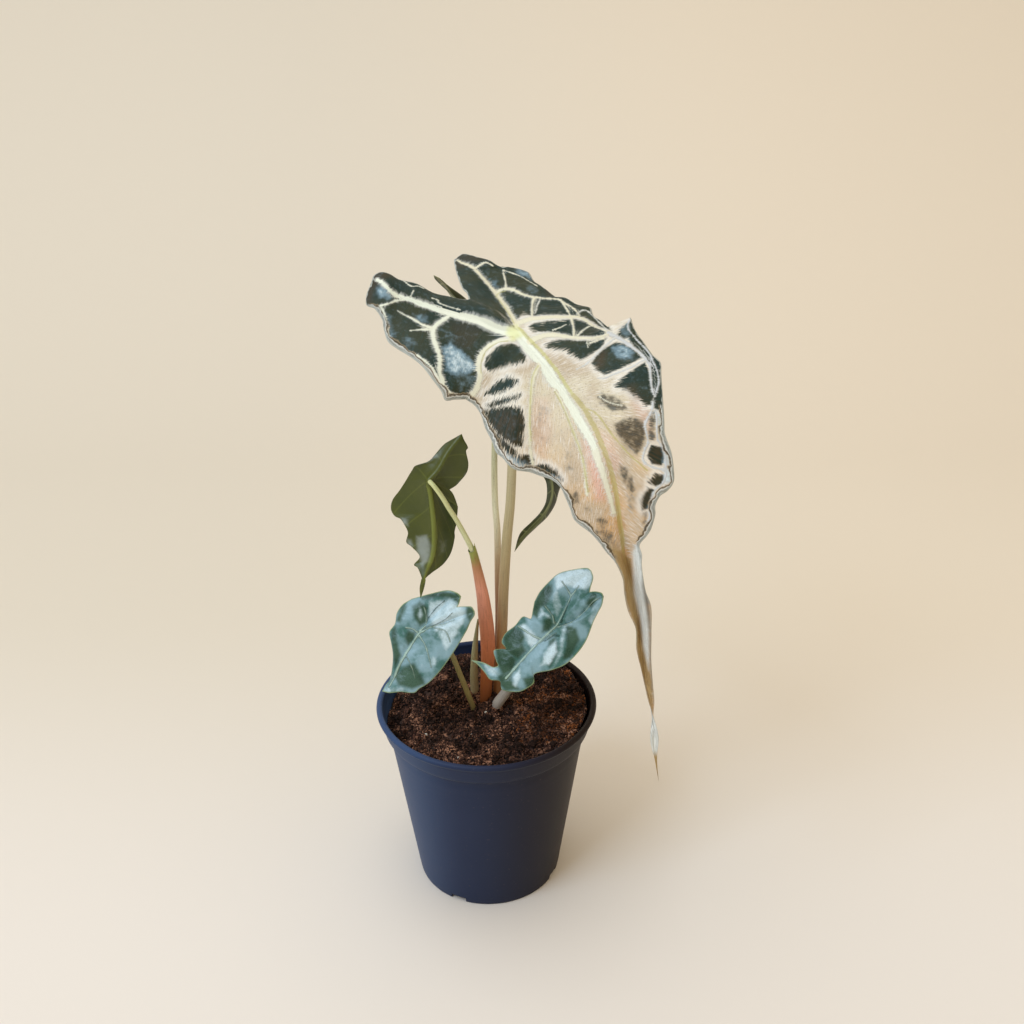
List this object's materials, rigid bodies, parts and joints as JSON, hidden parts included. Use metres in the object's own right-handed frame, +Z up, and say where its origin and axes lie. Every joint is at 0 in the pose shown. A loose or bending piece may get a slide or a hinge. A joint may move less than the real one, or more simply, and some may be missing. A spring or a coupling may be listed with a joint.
{
  "type": "potted venom alocasia",
  "caption": "House plant with arrow-shaped, thickly veined leaves on upright stalks, growing from soil in a round nursery pot.",
  "frame": {"origin": "centre of the pot's underside, on the plane that the pot stands on", "axes": "+Z is up along the pot's axis, +X is to the right and +Y is away from someone facing the large leaf"},
  "size_m": [0.1491, 0.1448, 0.3424],
  "materials": {
    "pot_plastic": "satin moulded",
    "potting_mix": "crumbly, moist",
    "rhizome": "rough, fibrous",
    "veined_blade": "waxy, pale with dark cells",
    "dark_blade": "waxy",
    "olive_underside": "waxy",
    "silver_blade": "waxy, metallic sheen",
    "tan_stalk": "smooth",
    "pale_stalk": "smooth",
    "terracotta_sheath": "papery",
    "olive_stalk": "smooth",
    "grey_stalk": "dry, dull"
  },
  "bodies": {
    "root": {"pot": "pot_plastic", "potting_mix": "potting_mix", "rhizome": "rhizome", "main_leaf_blade": "veined_blade", "main_leaf_stalk": "tan_stalk", "rear_leaf_blade": "dark_blade", "rear_leaf_stalk": "tan_stalk", "left_leaf_blade": "olive_underside", "left_leaf_stalk": "pale_stalk", "left_leaf_sheath": "terracotta_sheath", "low_left_leaf_blade": "silver_blade", "low_left_leaf_stalk": "olive_stalk", "right_leaf_blade": "silver_blade", "right_leaf_stalk": "grey_stalk", "young_shoot": "pale_stalk"}
  },
  "joints": []
}
